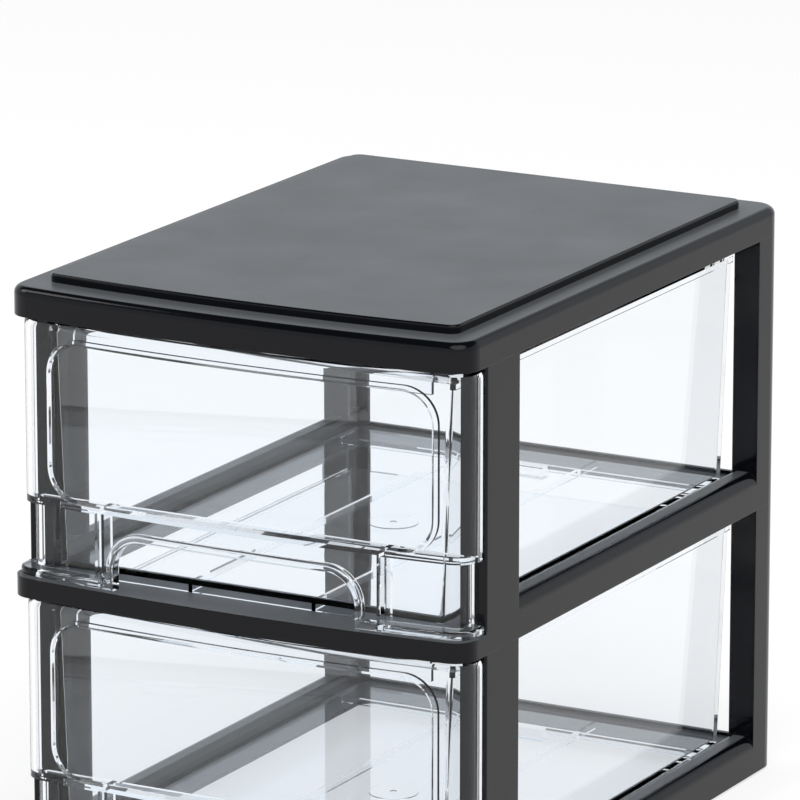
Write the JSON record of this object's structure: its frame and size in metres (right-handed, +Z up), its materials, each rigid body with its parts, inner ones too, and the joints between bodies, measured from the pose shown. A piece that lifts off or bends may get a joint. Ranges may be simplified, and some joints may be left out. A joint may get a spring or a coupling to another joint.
{
  "type": "desktop drawer unit",
  "caption": "Stackable desktop drawer unit with clear pull-out drawers in an open black plastic frame, for crafts and small parts.",
  "frame": {"origin": "centre of the bounding box, on the table surface", "axes": "+X to the right as the drawers are faced, -Y the way the drawers pull out, +Z up"},
  "size_m": [0.18, 0.2474, 0.2149],
  "materials": {
    "black_plastic": "polished black styrene",
    "clear_tub": "clear polished styrene",
    "clear_front": "clear polished styrene",
    "foot_rubber": "matt rubber"
  },
  "bodies": {
    "cabinet": {"top_cover": "black_plastic", "upper_frame": "black_plastic", "lower_frame": "black_plastic", "foot_front_left": "foot_rubber", "foot_front_right": "foot_rubber", "foot_back_left": "foot_rubber", "foot_back_right": "foot_rubber"},
    "upper_drawer": {"upper_drawer_tub": "clear_tub", "upper_drawer_front": "clear_front"},
    "lower_drawer": {"lower_drawer_tub": "clear_tub", "lower_drawer_front": "clear_front"}
  },
  "joints": [
    {"name": "upper_drawer_slide", "type": "slide", "parent": "cabinet", "child": "upper_drawer", "axis": [0, -1, 0], "range_m": [0, 0.18]},
    {"name": "lower_drawer_slide", "type": "slide", "parent": "cabinet", "child": "lower_drawer", "axis": [0, -1, 0], "range_m": [0, 0.18]}
  ]
}
